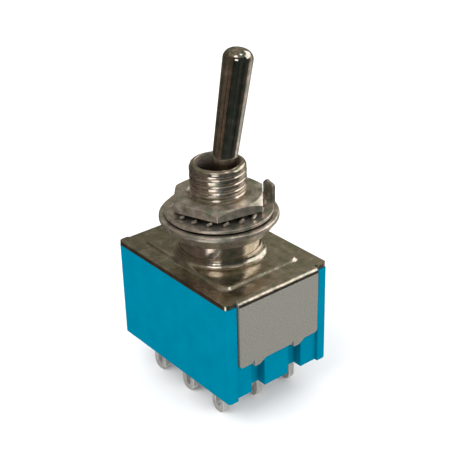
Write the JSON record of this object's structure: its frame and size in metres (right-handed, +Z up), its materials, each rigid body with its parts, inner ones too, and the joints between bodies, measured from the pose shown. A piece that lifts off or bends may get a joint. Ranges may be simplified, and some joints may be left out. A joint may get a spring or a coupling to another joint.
{
  "type": "panel toggle switch",
  "caption": "Miniature panel toggle switch: a moulded case in a folded steel frame, a threaded bushing with nut and rings, a tapered bat lever and a field of solder lugs.",
  "frame": {"origin": "on the bushing's axis, level with the tips of the solder lugs", "axes": "+Z up the bushing, out of the panel; X along the row of poles; Y the way the lever is thrown, with the resting lever leaning to +Y"},
  "size_m": [0.0192, 0.0138, 0.0377],
  "materials": {
    "case_plastic": "flat moulded thermoset, saturated blue",
    "sealing_compound": "dark cast resin",
    "frame_steel": "nickel-plated steel sheet, bright on the plate and grainy on the flaps",
    "bushing_nickel": "bright nickel plate over brass",
    "hardware_nickel": "satin nickel plate over steel",
    "lever_nickel": "bright nickel plate over brass, mirror-like",
    "nylon": "natural nylon",
    "spring_steel": "drawn spring wire",
    "contact_brass": "rolled brass sheet",
    "lug_tin": "tin plate over brass"
  },
  "bodies": {
    "housing": {"case": "case_plastic", "terminal_seal": "sealing_compound", "frame": "frame_steel", "bushing": "bushing_nickel", "spacer_ring": "hardware_nickel", "locking_ring": "hardware_nickel", "lock_washer": "hardware_nickel", "hex_nut": "hardware_nickel", "common_terminal_1": "lug_tin", "common_terminal_2": "lug_tin", "common_terminal_3": "lug_tin", "near_terminal_1": "lug_tin", "near_terminal_2": "lug_tin", "near_terminal_3": "lug_tin", "far_terminal_1": "lug_tin", "far_terminal_2": "lug_tin", "far_terminal_3": "lug_tin"},
    "lever": {"lever": "lever_nickel", "actuator": "nylon", "plunger_spring_1": "spring_steel", "plunger_spring_2": "spring_steel", "plunger_spring_3": "spring_steel"},
    "plunger_1": {"plunger_1": "nylon"},
    "plunger_2": {"plunger_2": "nylon"},
    "plunger_3": {"plunger_3": "nylon"},
    "rocker_1": {"rocker_1": "contact_brass"},
    "rocker_2": {"rocker_2": "contact_brass"},
    "rocker_3": {"rocker_3": "contact_brass"}
  },
  "joints": [
    {"name": "lever_tilt", "type": "hinge", "parent": "housing", "child": "lever", "pos_m": [0, 0, 0.02156], "axis": [1, 0, 0], "range_deg": [0, 22.6]},
    {"name": "plunger_slide_1", "type": "slide", "parent": "lever", "child": "plunger_1", "axis": [0, 0.196, 0.9806], "range_m": [0, 0.0004], "stiffness_N_per_m": 300, "springref_m": -0.0004, "deforming": ["plunger_spring_1"]},
    {"name": "plunger_slide_2", "type": "slide", "parent": "lever", "child": "plunger_2", "axis": [0, 0.196, 0.9806], "range_m": [0, 0.0004], "stiffness_N_per_m": 300, "springref_m": -0.0004, "deforming": ["plunger_spring_2"]},
    {"name": "plunger_slide_3", "type": "slide", "parent": "lever", "child": "plunger_3", "axis": [0, 0.196, 0.9806], "range_m": [0, 0.0004], "stiffness_N_per_m": 300, "springref_m": -0.0004, "deforming": ["plunger_spring_3"]},
    {"name": "rocker_tip_1", "type": "hinge", "parent": "housing", "child": "rocker_1", "pos_m": [-0.0053, 0, 0.00803], "axis": [1, 0, 0], "range_deg": [-13, 0]},
    {"name": "rocker_tip_2", "type": "hinge", "parent": "housing", "child": "rocker_2", "pos_m": [0, 0, 0.00803], "axis": [1, 0, 0], "range_deg": [-13, 0]},
    {"name": "rocker_tip_3", "type": "hinge", "parent": "housing", "child": "rocker_3", "pos_m": [0.0053, 0, 0.00803], "axis": [1, 0, 0], "range_deg": [-13, 0]}
  ],
  "couplings": [
    {"joint": "rocker_tip_1", "follows": "lever_tilt", "ratio": -0.57522},
    {"joint": "rocker_tip_2", "follows": "lever_tilt", "ratio": -0.57522},
    {"joint": "rocker_tip_3", "follows": "lever_tilt", "ratio": -0.57522}
  ]
}
